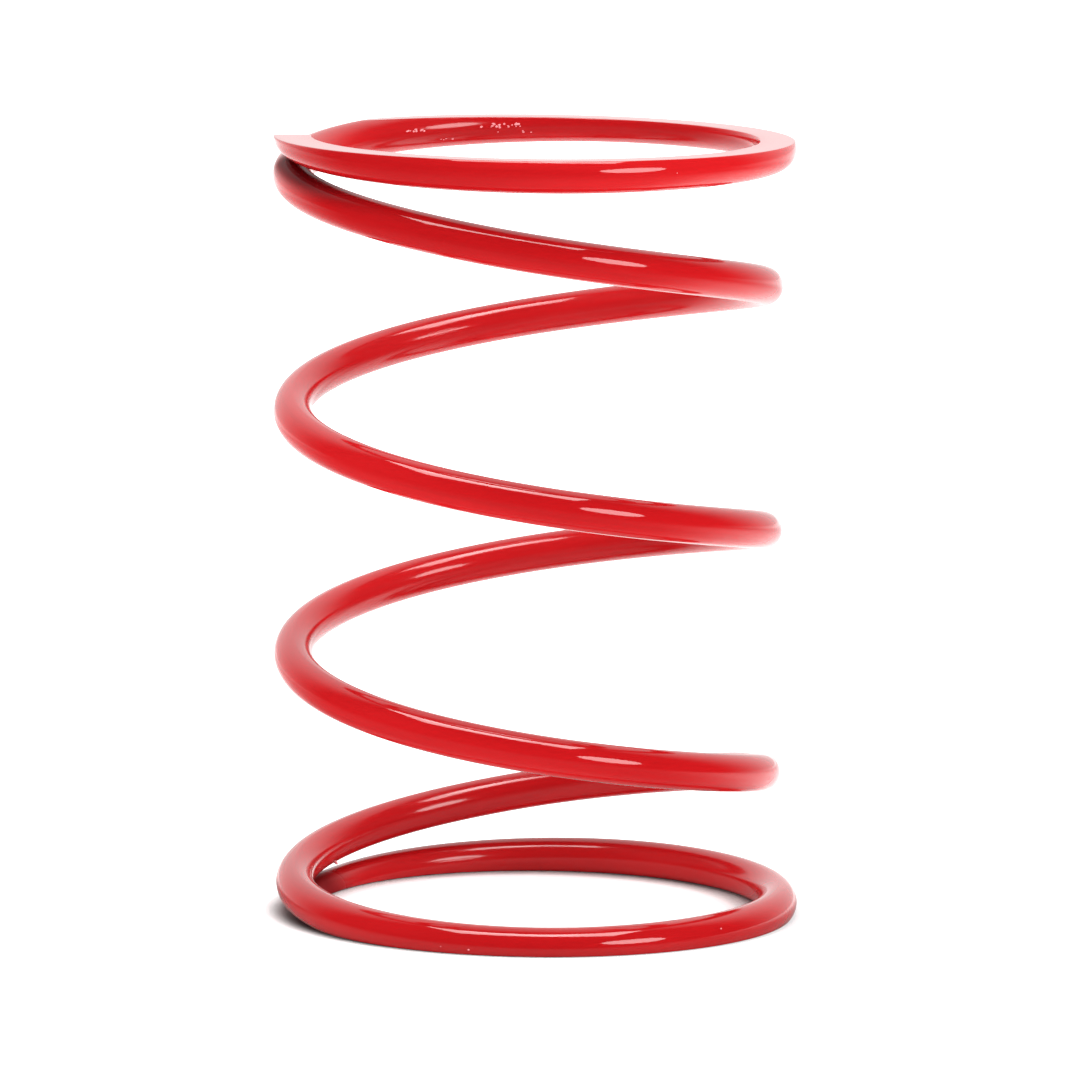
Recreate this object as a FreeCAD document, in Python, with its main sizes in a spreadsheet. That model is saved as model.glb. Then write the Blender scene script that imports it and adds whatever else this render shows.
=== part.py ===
import FreeCAD, Part
import math
import os

# Clutch torque spring: one round wire coiled left-handed into a compression spring,
# with both ends closed on the next coil and ground flat. Millimetres, +Z up.
# The origin is the centre of the lower seat, on the plane that the spring stands on.

# Driving dimensions, each a cell of the sheet
SIZES = [
    ("wire_diameter", "4.4"),
    ("outer_diameter", "60.0"),
    ("free_length", "90.0"),
    ("total_turns", "4.97"),
    ("tip_direction", "180.0"),
    ("tip_gap", "0.15"),
    ("tip_rise", "1.7"),
    ("tip_rise_turns", "0.33"),
    ("pitch_blend_turns", "0.53"),
    ("ground_depth", "1.0"),
]
# What each size means:
#   outer_diameter     over the closed end coils
#   free_length        between the two ground faces, unloaded
#   total_turns        from one wire tip to the other
#   tip_direction      degrees from +X to the upper tip, seen from above
#   tip_gap            left between a tip and the coil that it closes on
#   tip_rise           how far a tip rides up on the coil that it closes on
#   tip_rise_turns     length of that rise, in turns
#   pitch_blend_turns  turns in which the pitch grows from closed to full
#   ground_depth       taken off the closed end coil by the grinding

# Way of winding: -1 runs clockwise upwards seen from above, which is left-handed
WINDING = -1

# Fineness of the coil line: knots per turn, and steps of the sum between two knots
KNOTS_PER_TURN = 8
STEPS_PER_KNOT = 60


def make_sheet(doc):
    """The sheet that holds the driving dimensions."""
    sheet = doc.addObject("Spreadsheet::Sheet", "Dimensions")
    for row, (alias, number) in enumerate(SIZES, start=1):
        sheet.set("A%d" % row, alias)
        sheet.set("B%d" % row, number)
        sheet.setAlias("B%d" % row, alias)
    doc.recompute()
    return sheet


class CoilLaw:
    """Slope, height and plan of the wire's centre line, worked out from the sheet."""

    def __init__(self, sheet):
        self.wire_radius = sheet.wire_diameter / 2
        self.seat_radius = (sheet.outer_diameter - sheet.wire_diameter) / 2
        self.turns = sheet.total_turns
        self.rise = sheet.tip_rise
        self.rise_turns = sheet.tip_rise_turns
        self.blend = sheet.pitch_blend_turns
        self.seat_height = self.wire_radius - sheet.ground_depth
        self.start_angle = math.radians(sheet.tip_direction) - WINDING * 2 * math.pi * self.turns
        # One turn on, the line is a wire and a gap past the tip: part of that is the
        # tip's own rise, and the rest is what the growing pitch has climbed by then
        climb = sheet.wire_diameter + sheet.tip_gap - sheet.tip_rise
        # The full pitch follows from the free length, as the root of a quadratic:
        # length = active * pitch + 2 * spread * sqrt(pitch)
        length = sheet.free_length - 2 * self.seat_height
        active = self.turns - 2 - self.blend
        spread = math.sqrt(2 * self.blend * climb)
        self.pitch = ((math.sqrt(spread ** 2 + active * length) - spread) / active) ** 2
        self.closed_turns = 1 - spread / math.sqrt(self.pitch)

    def end_slope(self, turn):
        """Height gained per turn, at a distance in turns from a tip."""
        rising = max(0.0, 1 - turn / self.rise_turns)
        opening = min(1.0, max(0.0, (turn - self.closed_turns) / self.blend))
        return 2 * self.rise / self.rise_turns * rising + self.pitch * opening

    def slope(self, turn):
        """Height gained per turn, counted in turns from the lower tip."""
        return self.end_slope(min(turn, self.turns - turn))

    def plan_radius(self, turn):
        """The wire leaves the coiler with one curvature all along, so a coil that
        climbs steeply closes to a smaller circle than a flat one."""
        steepness = self.slope(turn) / (2 * math.pi * self.seat_radius)
        return self.seat_radius / (1 + steepness ** 2)

    def angle(self, turn):
        return self.start_angle + WINDING * 2 * math.pi * turn

    def velocity(self, turn):
        """Change of the line's position per turn."""
        around = self.plan_radius(turn) * WINDING * 2 * math.pi
        angle = self.angle(turn)
        return FreeCAD.Vector(
            -math.sin(angle) * around,
            math.cos(angle) * around,
            self.slope(turn),
        )

    def knots(self):
        """Points of the line, each with the line's direction, from the lower tip up."""
        spans = max(1, math.ceil(self.turns * KNOTS_PER_TURN))
        step = self.turns / (spans * STEPS_PER_KNOT)
        place = FreeCAD.Vector(0, 0, 0)
        found = [(place, self.direction(0))]
        for span in range(spans):
            for part in range(STEPS_PER_KNOT):
                turn = (span * STEPS_PER_KNOT + part + 0.5) * step
                place = place + self.velocity(turn) * step
            turn = (span + 1) * STEPS_PER_KNOT * step
            found.append((place, self.direction(turn)))
        shift = self.centring(found)
        return [(place + shift, direction) for place, direction in found]

    def direction(self, turn):
        velocity = self.velocity(turn)
        return velocity.normalize()

    def centring(self, found):
        """The shift that centres the lower closed coil on the origin and sets the
        lower tip's height over the ground face."""
        middle = (self.rise_turns + self.closed_turns) / 2
        nearest = round(middle / self.turns * (len(found) - 1))
        angle = self.angle(nearest * self.turns / (len(found) - 1))
        on_circle = FreeCAD.Vector(
            self.seat_radius * math.cos(angle),
            self.seat_radius * math.sin(angle),
            0,
        )
        shift = on_circle - found[nearest][0]
        shift.z = self.seat_height - self.rise
        return shift


def tangent_arc(start, way, end):
    """The arc that leaves start along way and ends at end."""
    chord = end - start
    along = chord * (1 / chord.Length)
    outward = way - along * way.dot(along)
    half_angle = math.acos(min(1.0, way.dot(along)))
    bulge = chord.Length / 2 * math.tan(half_angle / 2)
    top = (start + end) * 0.5 + outward.normalize() * bulge
    return Part.Arc(start, top, end)


def arc_pair(knot, next_knot):
    """Two arcs that join smoothly, and leave and meet the knots in their directions."""
    start, way = knot
    end, next_way = next_knot
    chord = end - start
    # The arcs meet halfway between two points that lie reach ahead of the start and
    # reach behind the end, and the three lengths between these four are equal
    square = 2 * (1 - way.dot(next_way))
    linear = 2 * chord.dot(way + next_way)
    constant = -chord.dot(chord)
    root = math.sqrt(linear ** 2 - 4 * square * constant)
    reach = (root - linear) / (2 * square)
    meeting = (start + way * reach + end - next_way * reach) * 0.5
    first = tangent_arc(start, way, meeting)
    last = tangent_arc(end, next_way * -1, meeting)
    return [first.toShape(), last.toShape()]


def make_coil_line(doc, law):
    """The centre line: its pitch and radius vary, which no helix primitive can do.
    It is drawn in tangent arcs, so that each stretch of wire is a true torus."""
    knots = law.knots()
    edges = []
    for knot, next_knot in zip(knots, knots[1:]):
        edges.extend(arc_pair(knot, next_knot))
    line = doc.addObject("Part::Feature", "CoilLine")
    line.Shape = Part.Wire(edges)
    line.Label = "coil_line"
    return line


def make_wire_section(doc, law):
    """The round section of the wire, square to the lower tip of the coil line."""
    section = doc.addObject("Part::Circle", "WireSection")
    section.setExpression("Radius", "Dimensions.wire_diameter / 2")
    tip, along = law.knots()[0]
    facing = FreeCAD.Rotation(FreeCAD.Vector(0, 0, 1), along)
    section.Placement = FreeCAD.Placement(tip, facing)
    section.Label = "wire_section"
    return section


def make_coiled_wire(doc, line, section):
    """The wire as it leaves the coiler, before its ends are ground."""
    coil = doc.addObject("Part::Sweep", "CoiledWire")
    coil.Sections = [section]
    coil.Spine = (line, ["Edge%d" % (number + 1) for number in range(len(line.Shape.Edges))])
    coil.Solid = True
    coil.Frenet = True
    coil.Label = "coiled_wire"
    return coil


def make_grinding_space(doc):
    """The room between the two grinding planes, twice as wide as the coil."""
    space = doc.addObject("Part::Cylinder", "GrindingSpace")
    space.setExpression("Radius", "Dimensions.outer_diameter")
    space.setExpression("Height", "Dimensions.free_length")
    space.Label = "grinding_space"
    return space


def make_spring(doc, coil, space):
    """The finished spring: the coiled wire between the two ground faces."""
    spring = doc.addObject("Part::Common", "TorqueSpring")
    spring.Base = coil
    spring.Tool = space
    spring.Label = "torque_spring"
    return spring


def check(doc, spring):
    """Stops where an object has failed or the spring isn't one sound solid."""
    for item in doc.Objects:
        for state in item.State:
            if state in ("Invalid", "Error"):
                raise RuntimeError("%s is %s" % (item.Label, state))
    shape = spring.Shape
    if shape.isNull() or not shape.isValid():
        raise RuntimeError("%s has no sound shape" % spring.Label)
    if len(shape.Solids) != 1:
        raise RuntimeError("%s has %d solids" % (spring.Label, len(shape.Solids)))


def main():
    doc = FreeCAD.newDocument("TorqueSpring")
    sheet = make_sheet(doc)
    law = CoilLaw(sheet)
    line = make_coil_line(doc, law)
    section = make_wire_section(doc, law)
    coil = make_coiled_wire(doc, line, section)
    space = make_grinding_space(doc)
    spring = make_spring(doc, coil, space)
    doc.recompute()
    check(doc, spring)

    box = spring.Shape.BoundBox
    print("pitch %.3f, closed turns %.3f" % (law.pitch, law.closed_turns))
    print("volume %.2f" % spring.Shape.Volume)
    print("x %.3f %.3f  y %.3f %.3f  z %.3f %.3f"
          % (box.XMin, box.XMax, box.YMin, box.YMax, box.ZMin, box.ZMax))

    os.makedirs("parts", exist_ok=True)
    spring.Shape.exportStep("parts/%s.step" % spring.Label)


main()
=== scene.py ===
import math

import bpy
import numpy as np
from mathutils import Matrix, Vector


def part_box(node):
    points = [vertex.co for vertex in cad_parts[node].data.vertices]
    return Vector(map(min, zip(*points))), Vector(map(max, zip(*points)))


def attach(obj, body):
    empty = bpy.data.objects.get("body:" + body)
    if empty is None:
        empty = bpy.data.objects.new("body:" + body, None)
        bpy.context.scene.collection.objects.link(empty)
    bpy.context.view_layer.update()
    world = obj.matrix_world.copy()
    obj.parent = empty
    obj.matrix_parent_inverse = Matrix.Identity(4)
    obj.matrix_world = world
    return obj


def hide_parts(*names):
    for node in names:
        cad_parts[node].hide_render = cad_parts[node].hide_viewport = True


# The clutch torque spring: the wire is built again on the CAD solid's own law, with
# finer rings, rounded grinding edges and a gloss red coat. Metres, +Z up.

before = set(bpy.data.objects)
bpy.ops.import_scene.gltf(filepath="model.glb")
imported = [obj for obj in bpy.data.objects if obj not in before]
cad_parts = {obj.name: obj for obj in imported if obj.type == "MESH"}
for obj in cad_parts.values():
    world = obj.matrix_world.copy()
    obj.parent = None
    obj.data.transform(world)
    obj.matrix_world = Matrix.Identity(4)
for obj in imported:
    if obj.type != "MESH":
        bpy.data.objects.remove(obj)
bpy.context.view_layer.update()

MM = 0.001
NODE = "torque_spring"

# The wire and its winding, as in the CAD source
WIRE_RADIUS = 2.2 * MM
OUTER_RADIUS = 30.0 * MM
TURNS = 4.97
UPPER_TIP_ANGLE = math.pi
WINDING = -1
LOWER_TIP_ANGLE = UPPER_TIP_ANGLE - WINDING * 2 * math.pi * TURNS
TIP_GAP = 0.15 * MM
TIP_RISE = 1.7 * MM
TIP_RISE_TURNS = 0.33
PITCH_BLEND_TURNS = 0.53
GROUND_DEPTH = 1.0 * MM
SEAT_RADIUS = OUTER_RADIUS - WIRE_RADIUS
SEAT_HEIGHT = WIRE_RADIUS - GROUND_DEPTH
FREE_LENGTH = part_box(NODE)[1].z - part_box(NODE)[0].z

# How the photographed spring differs from the nominal one: its coils lean a little
# against the ground faces, and both closed coils sit to the right of the others
LEAN_FORWARD = math.radians(0.96)
LEAN_LEFT = math.radians(0.58)
LOWER_COIL_SHIFT = 0.76 * MM
UPPER_COIL_SHIFT = 0.22 * MM
END_COIL_TURNS = 0.65
END_COIL_BLEND = 0.6

# Fineness of the visible wire
RINGS = 1000
LINE_STEPS_PER_RING = 12
SIDE_STEPS = 20
EDGE_STEPS = 3
FLAT_STEPS = 3
# Radius of the edge round a ground face
EDGE_RADIUS = 0.18 * MM
# How near to the wire's crest the edge and flat points lie where nothing is ground off
CREST_ANGLE = math.radians(3.0)
# Bevel of the wire's sawn ends, and the rings that close an end: how far each stands
# in, as a share of the way to the middle, and how far out, as a share of the bevel
END_BEVEL = 0.12 * MM
CLOSING_RINGS = [(0.035, 0.55), (0.10, 0.9), (0.16, 1.0), (0.6, 1.0), (1.0, 1.0)]
# Keeps the division by a normal's size sound where its faces have no area
LEAST_NORMAL = 1e-12

# Nibs in the coat, in patches: the middle in turns from the lower tip and how far
# they spread, the angle round the wire in degrees and how far they spread, how many
# there are, and how wide they are at most
NIB_PATCHES = [
    (4.194, 0.016, 176.0, 8.0, 22, 0.29 * MM),
    (4.129, 0.008, 172.0, 5.0, 12, 0.26 * MM),
    (4.155, 0.006, 205.0, 6.0, 4, 0.24 * MM),
    (4.20, 0.02, 200.0, 8.0, 4, 0.24 * MM),
    (4.631, 0.0, -1.0, 0.0, 1, 0.13 * MM),
    (0.779, 0.0, -6.0, 0.0, 1, 0.20 * MM),
    (0.7615, 0.0, -8.0, 0.0, 1, 0.20 * MM),
    (0.597, 0.0, 24.0, 0.0, 1, 0.22 * MM),
]
# The narrowest nib as a share of the widest, and the longest as a share of its width
NIB_LEAST = 0.45
NIB_LONGEST = 1.8
NIB_SINK = 0.02 * MM
NIB_SIDES = 10
NIB_RINGS = 4
NIB_SEED = 4
# Outward, upward and forward directions of the wire laid straight
STRAIGHT_WAYS = (np.array([0.0, 1.0, 0.0]), np.array([0.0, 0.0, 1.0]), np.array([1.0, 0.0, 0.0]))
# A spur of paint under the coil over the lower tip: its turn and its angle in degrees
SPUR_PLACE = (1.044, 222.0)
SPUR_WIDTH = 0.40 * MM
SPUR_REACH = 0.50 * MM

# Colours of the coat: it is cloudy between the first two, and the tints multiply it; the second
# tint is painted shade near both tips
RED_DEEP = (0.43, 0.0062, 0.0081, 1.0)
RED_BRIGHT = (0.52, 0.0090, 0.0114, 1.0)
STREAK_TINT = (0.72, 0.55, 0.55, 1.0)
PAINTED_SHADE_TINT = (0.24, 0.33, 0.45, 1.0)
NIB_RED = (0.82, 0.25, 0.27, 1.0)
NIB_ROUGHNESS = 0.25
WHITE = (1.0, 1.0, 1.0, 1.0)
# Grain of the coat: its scale per metre, how far it is drawn out along the wire, and
# its detail
CLOUDS = (140.0, 6.0, 2.0)
STREAKS = (900.0, 30.0, 3.0)
PEEL = (900.0, 1.6, 2.0)
PEEL_STRENGTH = 0.3
PEEL_DEPTH = 0.004 * MM
COAT_IOR = 1.5
# How far shade is painted from the lower tip, darkening and dulling the coat, and how dull it is
# there
TIP_SHADE_REACH = 12.0 * MM
TIP_SHADE_ROUGHNESS = 0.44
# Where the upper tip closes on the coil below, in turns from the lower tip: shade is painted
# on the top of that coil from the first to the last of these, fully between the other two
CLOSING_TURNS = (TURNS - 1.17, TURNS - 1.06, TURNS - 1.02, TURNS - 0.985)
# Soft steps of the coat: where each starts and ends, and its values there. The first
# two follow the grain, the next two set how rough paint and clear coat are, and the
# others say where shade is painted on the coat and how much clear coat is left there
CLOUD_STEP = (0.35, 0.65, 0.0, 1.0)
STREAK_STEP = (0.52, 0.75, 0.0, 0.25)
PAINT_ROUGHNESS = (0.3, 0.7, 0.22, 0.40)
CLEAR_ROUGHNESS = (-WIRE_RADIUS, WIRE_RADIUS / 2, 0.13, 0.045)
TIP_SHADE_STEP = (TIP_SHADE_REACH / 3, TIP_SHADE_REACH, 0.8, 0.0)
CREST_STEP = (0.1 * WIRE_RADIUS, 0.8 * WIRE_RADIUS, 0.0, 1.0)
CLEAR_LEFT = (0.0, 1.0, 1.0, 0.2)

# The floor reaches past the edges of every view of the spring
FLOOR_RADIUS = 6.0
FLOOR_SIDES = 128
FLOOR_SHADE = 0.92
# Shadow painted into the floor's colour in the crevice between the wire and the floor: how far it
# reaches and how dark it gets
CREVICE_REACH = 3.2 * MM
CREVICE_POWER = 2.4
CREVICE_SAMPLES = 2
# The floor as the coat mirrors it: the way of its bright side, how late it brightens
# towards that, its shade right under the spring, and the soft steps between its shades
BRIGHT_SIDE = (0.35, 0.8, 0.0)
BRIGHT_POWER = 1.8
UNDER_SHADE = 0.40
BRIGHT_STEP = (-0.87, 0.87, 0.0, 1.0)
NEAR_SHADE = (0.0, 1.0, 0.17, 1.25)
FAR_SHADE = (-0.1, 1.15, 0.04, 0.90)
NEAR_TO_FAR = (0.05, 0.4, 0.0, 1.0)
UNDER_TO_NEAR = (0.9 * OUTER_RADIUS, 1.6 * OUTER_RADIUS, 0.0, 1.0)
HORIZON_GLOW = (0.2, 0.8, 0.0, 1.1)
# How far the floor is lifted to white for the camera: inside the coil, outside it, on
# its right where the painted crevice shadow doesn't count, and far beyond it
LIFT_INSIDE = (0.7 * OUTER_RADIUS, 0.85 * OUTER_RADIUS, 0.35, 0.0)
LIFT_OUTSIDE = (0.93 * OUTER_RADIUS, OUTER_RADIUS, 0.0, 0.65)
LIFT_RIGHT = (-0.2, 0.7, 0.0, 1.0)
LIFT_BEYOND = (3 * OUTER_RADIUS, 0.5, 0.0, 0.7)
# Light that the table sends up: more at the sides, none from under the spring, and
# less from afar
BOUNCE_SIDES = (0.5, 1.0, 0.55, 1.1)
BOUNCE_NEAR = (OUTER_RADIUS, 2.2 * OUTER_RADIUS, 0.0, 1.0)
BOUNCE_FAR = (0.10, 0.40, 1.0, 0.5)

# Soft light of the world: from the front, from high at both sides, and more of that on
# the left. The side light counts a direction to the side more than one upwards
FRONT_LIGHT = (-1.0, 0.2, 0.32, 0.05)
SIDE_LIGHT = (1.2, 1.72, 0.0, 1.5)
SIDE_WEIGHT = 1.4
LEFT_MORE = (-0.3, 0.3, 1.5, 1.0)
# The world as the coat mirrors it: a backdrop, hotter low in its middle, that ends above
BACKDROP = (0.15, 0.95, 0.03, 1.12)
HOT_MIDDLE = (0.96, 1.0, 0.0, 0.08)
HOT_BELOW = (0.2, 0.5, 1.0, 0.0)
BACKDROP_END = (0.85, 1.0, 1.0, 0.1)

# The lamps, all turned to the spring's middle: name, shape, azimuth and elevation in
# degrees, distance, width, height, radiance, and the rays that they are for
LAMPS = [
    ("overhead", "RECTANGLE", 0.0, 85.0, 0.90, 0.78, 0.44, 5.5, "diffuse"),
    ("overhead_gloss", "RECTANGLE", 0.0, 85.0, 0.91, 0.79, 0.44, 8.0, "gloss"),
    ("overhead_middle", "RECTANGLE", -30.0, 85.0, 0.88, 0.42, 0.24, 4.0, "gloss"),
    ("window", "ELLIPSE", 44.0, 21.0, 0.90, 0.46, 0.36, 7.5, "all"),
]

# The photograph's camera: where it stands and how it is turned
CAMERA_DISTANCE = 1001.74 * MM
CAMERA_HEIGHT = 181.84 * MM
CAMERA_YAW = math.radians(0.053)
CAMERA_DOWN = math.radians(7.868)
CAMERA_ROLL = math.radians(0.701)
CAMERA_NEAR = 0.01
CAMERA_FAR = 50.0
SENSOR_WIDTH = 36.0
FOCAL_PIXELS = 8776.0
FRAME_PIXELS = 1080


def pitch_and_closed_turns():
    """Full pitch, and the turns at each end that stay closed, from the free length."""
    climb = 2 * WIRE_RADIUS + TIP_GAP - TIP_RISE
    length = FREE_LENGTH - 2 * SEAT_HEIGHT
    active = TURNS - 2 - PITCH_BLEND_TURNS
    spread = math.sqrt(2 * PITCH_BLEND_TURNS * climb)
    pitch = ((math.sqrt(spread ** 2 + active * length) - spread) / active) ** 2
    return pitch, 1 - spread / math.sqrt(pitch)


PITCH, CLOSED_TURNS = pitch_and_closed_turns()


def slope(turn):
    """Height gained per turn, counted in turns from the lower tip."""
    from_tip = np.minimum(turn, TURNS - turn)
    rising = np.maximum(0.0, 1 - from_tip / TIP_RISE_TURNS)
    opening = np.clip((from_tip - CLOSED_TURNS) / PITCH_BLEND_TURNS, 0.0, 1.0)
    return 2 * TIP_RISE / TIP_RISE_TURNS * rising + PITCH * opening


def angle_at(turn):
    """Direction from the coil's axis to its line, in turns from the lower tip."""
    return LOWER_TIP_ANGLE + WINDING * 2 * math.pi * turn


def velocity(turn):
    """Change of the centre line's position per turn. A coil that climbs steeply closes
    to a smaller circle than a flat one."""
    steepness = slope(turn) / (2 * math.pi * SEAT_RADIUS)
    around = SEAT_RADIUS / (1 + steepness ** 2) * WINDING * 2 * math.pi
    angle = angle_at(turn)
    return np.stack([-np.sin(angle) * around, np.cos(angle) * around, slope(turn)], -1)


def smooth_step(value):
    value = np.clip(value, 0.0, 1.0)
    return value * value * (3 - 2 * value)


def turned(first, second, angle):
    """Two coordinates turned by an angle in their own plane."""
    cosine = math.cos(angle)
    sine = math.sin(angle)
    return first * cosine - second * sine, first * sine + second * cosine


def leaned(turn, place):
    """The centre line with this spring's lean about its middle and its shifted coils."""
    across, depth, height = place[:, 0], place[:, 1], place[:, 2] - FREE_LENGTH / 2
    depth, height = turned(depth, height, LEAN_FORWARD)
    across, height = turned(across, height, LEAN_LEFT)
    end_reach = END_COIL_TURNS + END_COIL_BLEND
    lower = smooth_step((end_reach - turn) / END_COIL_BLEND)
    upper = smooth_step((turn - TURNS + end_reach) / END_COIL_BLEND)
    across = across + LOWER_COIL_SHIFT * lower + UPPER_COIL_SHIFT * upper
    return np.stack([across, depth, height + FREE_LENGTH / 2], -1)


class CentreLine:
    """The wire's centre line, summed in small steps, with its directions."""

    def __init__(self):
        steps = RINGS * LINE_STEPS_PER_RING
        self.turn = np.linspace(0.0, TURNS, steps + 1)
        middle = (self.turn[1:] + self.turn[:-1]) / 2
        moves = velocity(middle) * (TURNS / steps)
        place = np.vstack([np.zeros(3), np.cumsum(moves, 0)])
        self.length = np.append(0.0, np.cumsum(np.linalg.norm(moves, axis=1)))
        closed = (TIP_RISE_TURNS + CLOSED_TURNS) / 2
        angle = angle_at(closed)
        on_circle = np.array([math.cos(angle), math.sin(angle), 0.0]) * SEAT_RADIUS
        shift = on_circle - place[round(closed / TURNS * steps)]
        shift[2] = SEAT_HEIGHT - TIP_RISE
        self.place = leaned(self.turn, place + shift)
        self.forward = np.gradient(self.place, axis=0)

    def length_at(self, turn):
        """Length of wire from the lower tip."""
        return np.interp(turn, self.turn, self.length)

    def at(self, turn):
        """Place, outward direction, upward direction and forward direction."""

        def read(column):
            return np.stack([np.interp(turn, self.turn, column[:, i]) for i in range(3)], -1)

        forward = read(self.forward)
        forward /= np.linalg.norm(forward, axis=-1, keepdims=True)
        outward = np.cross([0.0, 0.0, 1.0], forward)
        outward /= np.linalg.norm(outward, axis=-1, keepdims=True)
        return read(self.place), outward, np.cross(forward, outward), forward


LINE = CentreLine()


class GroundSide:
    """The wire's side that faces a ground plane, whose height over the wire's centre
    is given for each ring. Where the plane cuts the wire, a round edge leads to the
    flat, and where it doesn't, the wire's own crest takes the place of both."""

    def __init__(self, height):
        self.height = np.minimum(height, WIRE_RADIUS)
        self.edge_centre = self.height - EDGE_RADIUS
        drop = (WIRE_RADIUS - EDGE_RADIUS) ** 2 - self.edge_centre ** 2
        self.half_width = np.sqrt(np.maximum(drop, 0.0))
        meeting = np.arctan2(self.edge_centre, self.half_width)
        self.crest = meeting > math.pi / 2 - CREST_ANGLE
        self.meeting = np.where(self.crest, math.pi / 2 - CREST_ANGLE, meeting)

    def chosen(self, out, up, crest_angle):
        """The point given, or the one on the crest where the wire isn't cut."""
        crest_out = WIRE_RADIUS * np.cos(crest_angle)
        crest_up = np.minimum(WIRE_RADIUS * np.sin(crest_angle), self.height)
        return np.where(self.crest, crest_out, out), np.where(self.crest, crest_up, up)

    def edge(self, share):
        """A point of the round edge, from the wire, share 0, to the flat, share 1."""
        angle = self.meeting + (math.pi / 2 - self.meeting) * share
        out = self.half_width + EDGE_RADIUS * np.cos(angle)
        up = self.edge_centre + EDGE_RADIUS * np.sin(angle)
        return self.chosen(out, up, self.meeting + CREST_ANGLE * share / 2)

    def flat(self, share):
        """A point of the flat, from its middle, share 0, to its edge, share 1."""
        crest_angle = math.pi / 2 - CREST_ANGLE / 2 * share
        return self.chosen(self.half_width * share, self.height, crest_angle)


def half_section(top, bottom):
    """Outline of the wire's outer half, from the middle of its underside to the middle
    of its top, as the points' outward and upward parts. top and bottom are the ground
    planes' distances from the wire's centre."""
    low = GroundSide(bottom)
    high = GroundSide(top)
    under = [low.flat(step / FLAT_STEPS) for step in range(FLAT_STEPS)]
    under += [low.edge(1 - step / EDGE_STEPS) for step in range(EDGE_STEPS)]
    rows = [(out, -up) for out, up in under]
    for step in range(SIDE_STEPS + 1):
        angle = -low.meeting + (high.meeting + low.meeting) * step / SIDE_STEPS
        rows.append((WIRE_RADIUS * np.cos(angle), WIRE_RADIUS * np.sin(angle)))
    rows += [high.edge(step / EDGE_STEPS) for step in range(1, EDGE_STEPS + 1)]
    rows += [high.flat(1 - step / FLAT_STEPS) for step in range(1, FLAT_STEPS + 1)]
    return [np.stack(parts, -1) for parts in zip(*rows)]


def ring_sections(turns):
    """Rings of points round the wire, the same points on the wire laid straight, and
    the wire's direction at each ring."""
    place, outward, upward, forward = LINE.at(turns)
    rise = upward[:, 2]
    out, up = half_section((FREE_LENGTH - place[:, 2]) / rise, place[:, 2] / rise)
    out = np.hstack([out, -out[:, -2:0:-1]])
    up = np.hstack([up, up[:, -2:0:-1]])
    moved_out = out[..., None] * outward[:, None]
    moved_up = up[..., None] * upward[:, None]
    length = np.broadcast_to(LINE.length_at(turns)[:, None], out.shape)
    return place[:, None] + moved_out + moved_up, np.stack([length, out, up], -1), forward


def closing_rings(ring, straight, ahead):
    """The sawn end of the wire: a small bevel, then the flat face in to its middle."""
    middle = ring.mean(0)
    straight_middle = straight.mean(0)
    rings = []
    straights = []
    for inset, reach in CLOSING_RINGS:
        rings.append(ring + (middle - ring) * inset + ahead * (reach * END_BEVEL))
        straights.append(straight + (straight_middle - straight) * inset)
    return rings, straights


def grid_normals(points):
    """Normals of a tube of rings, weighted by the area of the faces that meet."""
    ahead = np.roll(points, -1, 1)
    faces = np.cross(ahead[1:] - points[:-1], points[1:] - ahead[:-1])
    normals = np.zeros_like(points)
    normals[:-1] += faces + np.roll(faces, 1, 1)
    normals[1:] += faces + np.roll(faces, 1, 1)
    size = np.linalg.norm(normals, axis=-1, keepdims=True)
    return normals / np.maximum(size, LEAST_NORMAL)


def tube_mesh(name, points, straight):
    """A tube from rings of points, with smooth normals and its places on the wire laid
    straight, which the coat's grain follows."""
    rings, around = points.shape[:2]
    number = np.arange(rings * around).reshape(rings, around)
    beside = np.roll(number, -1, 1)
    quads = np.stack([number[:-1], beside[:-1], beside[1:], number[1:]], -1).reshape(-1, 4)
    mesh = bpy.data.meshes.new(name)
    mesh.from_pydata(points.reshape(-1, 3), [], quads)
    attribute = mesh.attributes.new("laid_straight", "FLOAT_VECTOR", "POINT")
    attribute.data.foreach_set("vector", straight.reshape(-1, 3).astype(np.float32).ravel())
    mesh.shade_smooth()
    mesh.normals_split_custom_set_from_vertices(grid_normals(points).reshape(-1, 3))
    mesh.update()
    piece = bpy.data.objects.new(name, mesh)
    bpy.context.scene.collection.objects.link(piece)
    return piece


def make_wire():
    turns = np.linspace(0.0, TURNS, RINGS + 1)
    points, straight, forward = ring_sections(turns)
    first, first_straight = closing_rings(points[0], straight[0], -forward[0])
    last, last_straight = closing_rings(points[-1], straight[-1], forward[-1])
    points = np.concatenate([first[::-1], points, last])
    straight = np.concatenate([first_straight[::-1], straight, last_straight])
    return tube_mesh("spring_wire", points, straight)


def half_egg(place, outward, upward, forward, angle, length, width, rise):
    """Rings of half an egg that stands on the wire at a place with these directions.
    angle goes round the wire, from its outer side up."""
    normal = outward * math.cos(angle) + upward * math.sin(angle)
    beside = upward * math.cos(angle) - outward * math.sin(angle)
    around = np.linspace(0.0, 2 * math.pi, NIB_SIDES, endpoint=False)[:, None]
    rings = []
    for step in range(NIB_RINGS + 1):
        lift = math.pi / 2 * step / NIB_RINGS
        along = np.cos(around) * length / 2 * math.cos(lift)
        aside = np.sin(around) * width / 2 * math.cos(lift)
        out = WIRE_RADIUS - NIB_SINK + (NIB_SINK + rise) * math.sin(lift)
        rings.append(place + along * forward + aside * beside + out * normal)
    return np.array(rings)


def make_nib(turn, angle, length, width, rise):
    """A nib of paint on the wire, with its places on the wire laid straight."""
    size = (math.radians(angle), length, width, rise)
    straight_place = np.array([LINE.length_at(turn), 0.0, 0.0])
    rings = half_egg(*LINE.at(turn), *size)
    return tube_mesh("nib", rings, half_egg(straight_place, *STRAIGHT_WAYS, *size))


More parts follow.
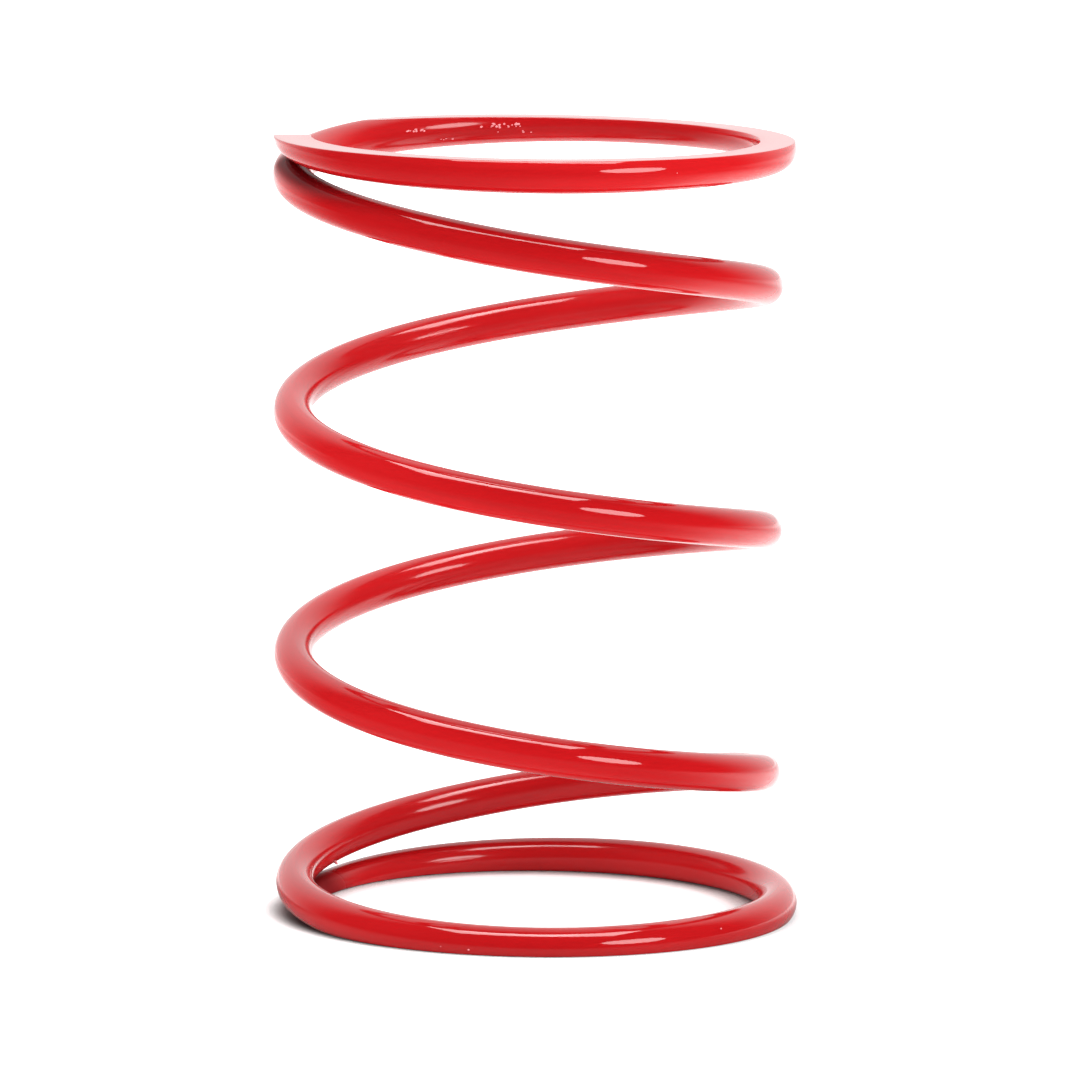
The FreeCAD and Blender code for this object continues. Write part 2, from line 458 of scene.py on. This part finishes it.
def make_nibs():
    """Nibs of dried paint: patches of them on the upper coil, a few alone, and a spur."""
    chance = np.random.default_rng(NIB_SEED)
    pieces = []
    for turn, turn_reach, angle, angle_reach, count, widest in NIB_PATCHES:
        for _ in range(count):
            at_turn = turn + turn_reach * chance.uniform(-1.0, 1.0)
            at_angle = angle + angle_reach * chance.uniform(-1.0, 1.0)
            width = widest * chance.uniform(NIB_LEAST, 1.0)
            length = width * chance.uniform(1.0, NIB_LONGEST)
            pieces.append(make_nib(at_turn, at_angle, length, width, width / 2))
    pieces.append(make_nib(*SPUR_PLACE, SPUR_WIDTH, SPUR_WIDTH, SPUR_REACH))
    nibs = pieces[0]
    with bpy.context.temp_override(active_object=nibs, selected_editable_objects=pieces):
        bpy.ops.object.join()
    nibs.name = "paint_nibs"
    nibs.data.name = "paint_nibs"
    return nibs


class Graph:
    """A shader tree that starts empty, with short ways to add nodes to it. Values for
    sockets are plain ones or other nodes' outputs."""

    def __init__(self, owner):
        owner.use_nodes = True
        self.tree = owner.node_tree
        self.tree.nodes.clear()

    def put(self, socket, value):
        if isinstance(value, bpy.types.NodeSocket):
            self.tree.links.new(value, socket)
        else:
            socket.default_value = value

    def add(self, kind, *values, **settings):
        """A node with settings, and with values on its first sockets."""
        node = self.tree.nodes.new(kind)
        for key, setting in settings.items():
            setattr(node, key, setting)
        for socket, value in zip(node.inputs, values):
            self.put(socket, value)
        return node

    def reckon(self, operation, *values):
        """The result of a sum, a product or the like."""
        return self.add("ShaderNodeMath", *values, operation=operation).outputs[0]

    def parts(self, vector):
        """The X, Y and Z of a vector."""
        return self.add("ShaderNodeSeparateXYZ", vector).outputs

    def spread(self, value, low, high, to_low, to_high):
        """A value carried softly from one range over to another."""
        node = self.add("ShaderNodeMapRange", interpolation_type="SMOOTHSTEP")
        self.put(node.inputs["Value"], value)
        self.put(node.inputs["From Min"], low)
        self.put(node.inputs["From Max"], high)
        self.put(node.inputs["To Min"], to_low)
        self.put(node.inputs["To Max"], to_high)
        return node.outputs["Result"]

    def blend(self, kind, share, first, second, way="MIX"):
        """The first number or colour, mixed with the second one by the share."""
        node = self.add("ShaderNodeMix", data_type=kind, blend_type=way)
        self.put(node.inputs["Factor"], share)
        self.put(node.inputs["A"], first)
        self.put(node.inputs["B"], second)
        return node.outputs["Result"]

    def diffuse(self, colour):
        return self.add("ShaderNodeBsdfDiffuse", colour).outputs[0]

    def background(self, strength):
        return self.add("ShaderNodeBackground", WHITE, strength).outputs[0]

    def either(self, share, first, second):
        """The first shader where the share is 0, and the second one where it is 1."""
        return self.add("ShaderNodeMixShader", share, first, second).outputs[0]


def grain(graph, place, scale, stretch, detail):
    """Noise that lies on the straight wire and is drawn out along it."""
    mapping = graph.add("ShaderNodeMapping", place)
    graph.put(mapping.inputs["Scale"], (1 / stretch, 1.0, 1.0))
    texture = graph.add("ShaderNodeTexNoise", mapping.outputs[0])
    graph.put(texture.inputs["Scale"], scale)
    graph.put(texture.inputs["Detail"], detail)
    return texture.outputs["Fac"]


def painted_shade_under_tip(graph, along, up):
    """Painted shade on top of the coil that the upper tip closes on: how dark the coat is made
    there.
    """
    first, dark_from, dark_to, last = LINE.length_at(CLOSING_TURNS)
    begins = graph.spread(along, first, dark_from, 0.0, 1.0)
    ends = graph.spread(along, dark_to, last, 1.0, 0.0)
    length = graph.reckon("MULTIPLY", begins, ends)
    return graph.reckon("MULTIPLY", length, graph.spread(up, *CREST_STEP))


def coat_colour(graph, clouds, streaks, painted_shade):
    """Red with slow clouds, faint streaks along the wire, and painted shade near the tips."""
    red = graph.blend("RGBA", graph.spread(clouds, *CLOUD_STEP), RED_DEEP, RED_BRIGHT)
    red = graph.blend("RGBA", graph.spread(streaks, *STREAK_STEP), red, STREAK_TINT, "MULTIPLY")
    # Painted shade: this tint darkens the red near the tips, where the closing coils shade it
    return graph.blend("RGBA", painted_shade, red, PAINTED_SHADE_TINT, "MULTIPLY")


def orange_peel(graph, place):
    bump = graph.add("ShaderNodeBump")
    graph.put(bump.inputs["Strength"], PEEL_STRENGTH)
    graph.put(bump.inputs["Distance"], PEEL_DEPTH)
    graph.put(bump.inputs["Height"], grain(graph, place, *PEEL))
    return bump.outputs[0]


def make_red_coat():
    """Gloss red paint under a clear coat, with painted shade at the tips that makes it darker and
    duller there.
    """
    material = bpy.data.materials.new("red_coat")
    graph = Graph(material)
    place = graph.add("ShaderNodeAttribute", attribute_name="laid_straight").outputs["Vector"]
    along, out, up = graph.parts(place)
    # Painted shade: the coat is darkened and dulled near the lower tip and on the coil under the
    # upper tip, where the closing coils shade it
    tip_shade = graph.spread(along, *TIP_SHADE_STEP)
    painted_shade = graph.reckon("ADD", tip_shade, painted_shade_under_tip(graph, along, up))
    streaks = grain(graph, place, *STREAKS)
    gloss = graph.spread(out, *CLEAR_ROUGHNESS)
    peel = orange_peel(graph, place)
    looks = {
        "Base Color": coat_colour(graph, grain(graph, place, *CLOUDS), streaks, painted_shade),
        "Roughness": graph.spread(streaks, *PAINT_ROUGHNESS),
        "Specular IOR Level": 0.0,
        "Coat Weight": graph.spread(painted_shade, *CLEAR_LEFT),
        "Coat Roughness": graph.reckon("MULTIPLY_ADD", tip_shade, TIP_SHADE_ROUGHNESS, gloss),
        "Coat IOR": COAT_IOR,
        "Normal": peel,
        "Coat Normal": peel,
    }
    paint = graph.add("ShaderNodeBsdfPrincipled")
    for name, value in looks.items():
        graph.put(paint.inputs[name], value)
    graph.add("ShaderNodeOutputMaterial", paint.outputs[0])
    return material


def make_nib_coat():
    """Dried flecks of the coat, paler than the rest."""
    material = bpy.data.materials.new("red_coat_flecks")
    material.use_nodes = True
    paint = material.node_tree.nodes["Principled BSDF"]
    paint.inputs["Base Color"].default_value = NIB_RED
    paint.inputs["Roughness"].default_value = NIB_ROUGHNESS
    return material


def mirrored_floor(graph, distance, way, far):
    """The floor as the coat mirrors it: dim in front and bright behind, as under a lit
    backdrop, and shaded under the spring."""
    toward = graph.add("ShaderNodeVectorMath", way, BRIGHT_SIDE, operation="DOT_PRODUCT")
    bright = graph.spread(toward.outputs["Value"], *BRIGHT_STEP)
    near = graph.spread(graph.reckon("POWER", bright, BRIGHT_POWER), *NEAR_SHADE)
    shade = graph.blend("FLOAT", graph.spread(distance, *NEAR_TO_FAR), near, far)
    return graph.blend("FLOAT", graph.spread(distance, *UNDER_TO_NEAR), UNDER_SHADE, shade)


def painted_crevice_shadow(graph):
    """Painted shadow: 1 in the open, and less in the crevice between the wire and the floor, by
    which the floor's colour is darkened.
    """
    crevice_shadow = graph.add("ShaderNodeAmbientOcclusion", samples=CREVICE_SAMPLES)
    graph.put(crevice_shadow.inputs["Distance"], CREVICE_REACH)
    return graph.reckon("POWER", crevice_shadow.outputs["AO"], CREVICE_POWER)


def floor_lift(graph, distance, to_right, crevice_shadow):
    """How far the floor is lifted to white for the camera. Outside the coil the painted crevice
    shadow holds the lift back, except on the right.
    """
    kept = graph.reckon("MAXIMUM", crevice_shadow, graph.spread(to_right, *LIFT_RIGHT))
    outside = graph.reckon("MULTIPLY", graph.spread(distance, *LIFT_OUTSIDE), kept)
    around = graph.reckon("ADD", graph.spread(distance, *LIFT_INSIDE), outside)
    return graph.reckon("ADD", around, graph.spread(distance, *LIFT_BEYOND))


def floor_bounce(graph, distance, to_right):
    """Light that the table around the spring sends up to it."""
    sides = graph.spread(graph.reckon("ABSOLUTE", to_right), *BOUNCE_SIDES)
    bare = graph.reckon("MULTIPLY", sides, graph.spread(distance, *BOUNCE_NEAR))
    return graph.reckon("MULTIPLY", bare, graph.spread(distance, *BOUNCE_FAR))


def make_floor_white():
    """A plain pale floor that keeps the spring's shadow, and that camera, coat and paint
    each see in their own light. For the camera, a shadow is painted into its colour in the
    crevice by the wire."""
    material = bpy.data.materials.new("floor_white")
    graph = Graph(material)
    place = graph.add("ShaderNodeTexCoord").outputs["Object"]
    distance = graph.add("ShaderNodeVectorMath", place, operation="LENGTH").outputs["Value"]
    way = graph.add("ShaderNodeVectorMath", place, operation="NORMALIZE").outputs[0]
    to_right, to_back, _ = graph.parts(way)
    path = graph.add("ShaderNodeLightPath").outputs
    far = graph.spread(to_back, *FAR_SHADE)
    crevice_shadow = painted_crevice_shadow(graph)

    # Painted shadow: for the camera, the floor's colour is darkened in the crevice by the wire
    to_camera = graph.diffuse(graph.reckon("MULTIPLY", crevice_shadow, FLOOR_SHADE))
    to_others = graph.diffuse((FLOOR_SHADE, FLOOR_SHADE, FLOOR_SHADE, 1.0))
    floor = graph.either(path["Is Camera Ray"], to_others, to_camera)
    mirrored = graph.diffuse(mirrored_floor(graph, distance, way, far))
    floor = graph.either(path["Is Glossy Ray"], floor, mirrored)

    lift = floor_lift(graph, distance, to_right, crevice_shadow)
    bounce = floor_bounce(graph, distance, to_right)
    horizon = graph.reckon("MULTIPLY", far, graph.spread(distance, *HORIZON_GLOW))
    glow = graph.reckon("MULTIPLY", path["Is Camera Ray"], lift)
    glow = graph.reckon("MULTIPLY_ADD", path["Is Diffuse Ray"], bounce, glow)
    glow = graph.reckon("MULTIPLY_ADD", path["Is Glossy Ray"], horizon, glow)
    lit = graph.add("ShaderNodeEmission", WHITE, glow).outputs[0]
    both = graph.add("ShaderNodeAddShader", floor, lit).outputs[0]
    graph.add("ShaderNodeOutputMaterial", both)
    return material


def make_floor():
    bpy.ops.mesh.primitive_circle_add(vertices=FLOOR_SIDES, radius=FLOOR_RADIUS, fill_type="NGON")
    floor = bpy.context.object
    floor.name = "floor"
    floor.data.materials.append(make_floor_white())


def soft_light(graph, way):
    """Light on the paint from the world: faint in front, and more from high sides."""
    sideways = graph.reckon("ABSOLUTE", way["X"])
    raised = graph.reckon("MULTIPLY_ADD", sideways, SIDE_WEIGHT, way["Z"])
    sides = graph.spread(raised, *SIDE_LIGHT)
    sides = graph.reckon("MULTIPLY", sides, graph.spread(way["X"], *LEFT_MORE))
    return graph.reckon("ADD", graph.spread(way["Y"], *FRONT_LIGHT), sides)


def mirrored_world(graph, direction, way):
    """The world as the coat mirrors it: a bright backdrop and a dark front, as in a
    small light tent."""
    level = graph.add("ShaderNodeVectorMath", direction, (1.0, 1.0, 0.0), operation="MULTIPLY")
    around = graph.add("ShaderNodeVectorMath", level.outputs[0], operation="NORMALIZE")
    behind = graph.parts(around.outputs[0])["Y"]
    middle = graph.spread(behind, *HOT_MIDDLE)
    hot = graph.reckon("MULTIPLY", middle, graph.spread(way["Z"], *HOT_BELOW))
    bright = graph.reckon("ADD", graph.spread(behind, *BACKDROP), hot)
    return graph.reckon("MULTIPLY", bright, graph.spread(way["Z"], *BACKDROP_END))


def make_world():
    """White to the camera, a light tent to the coat and faint soft light to the paint."""
    world = bpy.data.worlds.new("studio")
    bpy.context.scene.world = world
    graph = Graph(world)
    direction = graph.add("ShaderNodeTexCoord").outputs["Generated"]
    way = graph.parts(direction)
    path = graph.add("ShaderNodeLightPath").outputs
    soft = graph.background(soft_light(graph, way))
    mirrored = graph.background(mirrored_world(graph, direction, way))
    shown = graph.either(path["Is Glossy Ray"], soft, mirrored)
    shown = graph.either(path["Is Camera Ray"], shown, graph.background(1.0))
    graph.add("ShaderNodeOutputWorld", shown)


def make_lamp(name, shape, azimuth, elevation, distance, width, height, radiance, rays):
    """A soft lamp turned to the spring's middle. Azimuth 0 stands on the camera's side,
    90 on the right. It lights all, or only what the rays named are for."""
    data = bpy.data.lights.new(name, "AREA")
    data.shape = shape
    data.size = width
    data.size_y = height
    area = width * height if shape == "RECTANGLE" else math.pi / 4 * width * height
    data.energy = radiance * math.pi * area
    lamp = bpy.data.objects.new(name, data)
    lamp.visible_diffuse = rays != "gloss"
    lamp.visible_glossy = rays != "diffuse"
    turn = math.radians(azimuth)
    lift = math.radians(elevation)
    level = math.cos(lift)
    away = Vector((math.sin(turn) * level, -math.cos(turn) * level, math.sin(lift)))
    lamp.location = Vector((0.0, 0.0, FREE_LENGTH / 2)) + away * distance
    lamp.rotation_euler = away.to_track_quat("Z", "Y").to_euler()
    bpy.context.scene.collection.objects.link(lamp)


def make_camera():
    data = bpy.data.cameras.new("camera")
    data.sensor_width = SENSOR_WIDTH
    data.lens = FOCAL_PIXELS / FRAME_PIXELS * SENSOR_WIDTH
    data.clip_start = CAMERA_NEAR
    data.clip_end = CAMERA_FAR
    camera = bpy.data.objects.new("camera", data)
    place = Vector((0.0, -CAMERA_DISTANCE, CAMERA_HEIGHT))
    turn = Matrix.Rotation(-CAMERA_YAW, 4, "Z")
    tilt = Matrix.Rotation(math.pi / 2 - CAMERA_DOWN, 4, "X")
    roll = Matrix.Rotation(CAMERA_ROLL, 4, "Z")
    camera.matrix_world = Matrix.Translation(place) @ turn @ tilt @ roll
    bpy.context.scene.collection.objects.link(camera)
    bpy.context.scene.camera = camera


wire = make_wire()
wire.data.materials.append(make_red_coat())
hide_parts(NODE)
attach(wire, "root")
nibs = make_nibs()
nibs.data.materials.append(make_nib_coat())
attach(nibs, "root")

make_floor()
make_world()
for lamp in LAMPS:
    make_lamp(*lamp)
make_camera()
bpy.context.scene.view_settings.view_transform = "Standard"
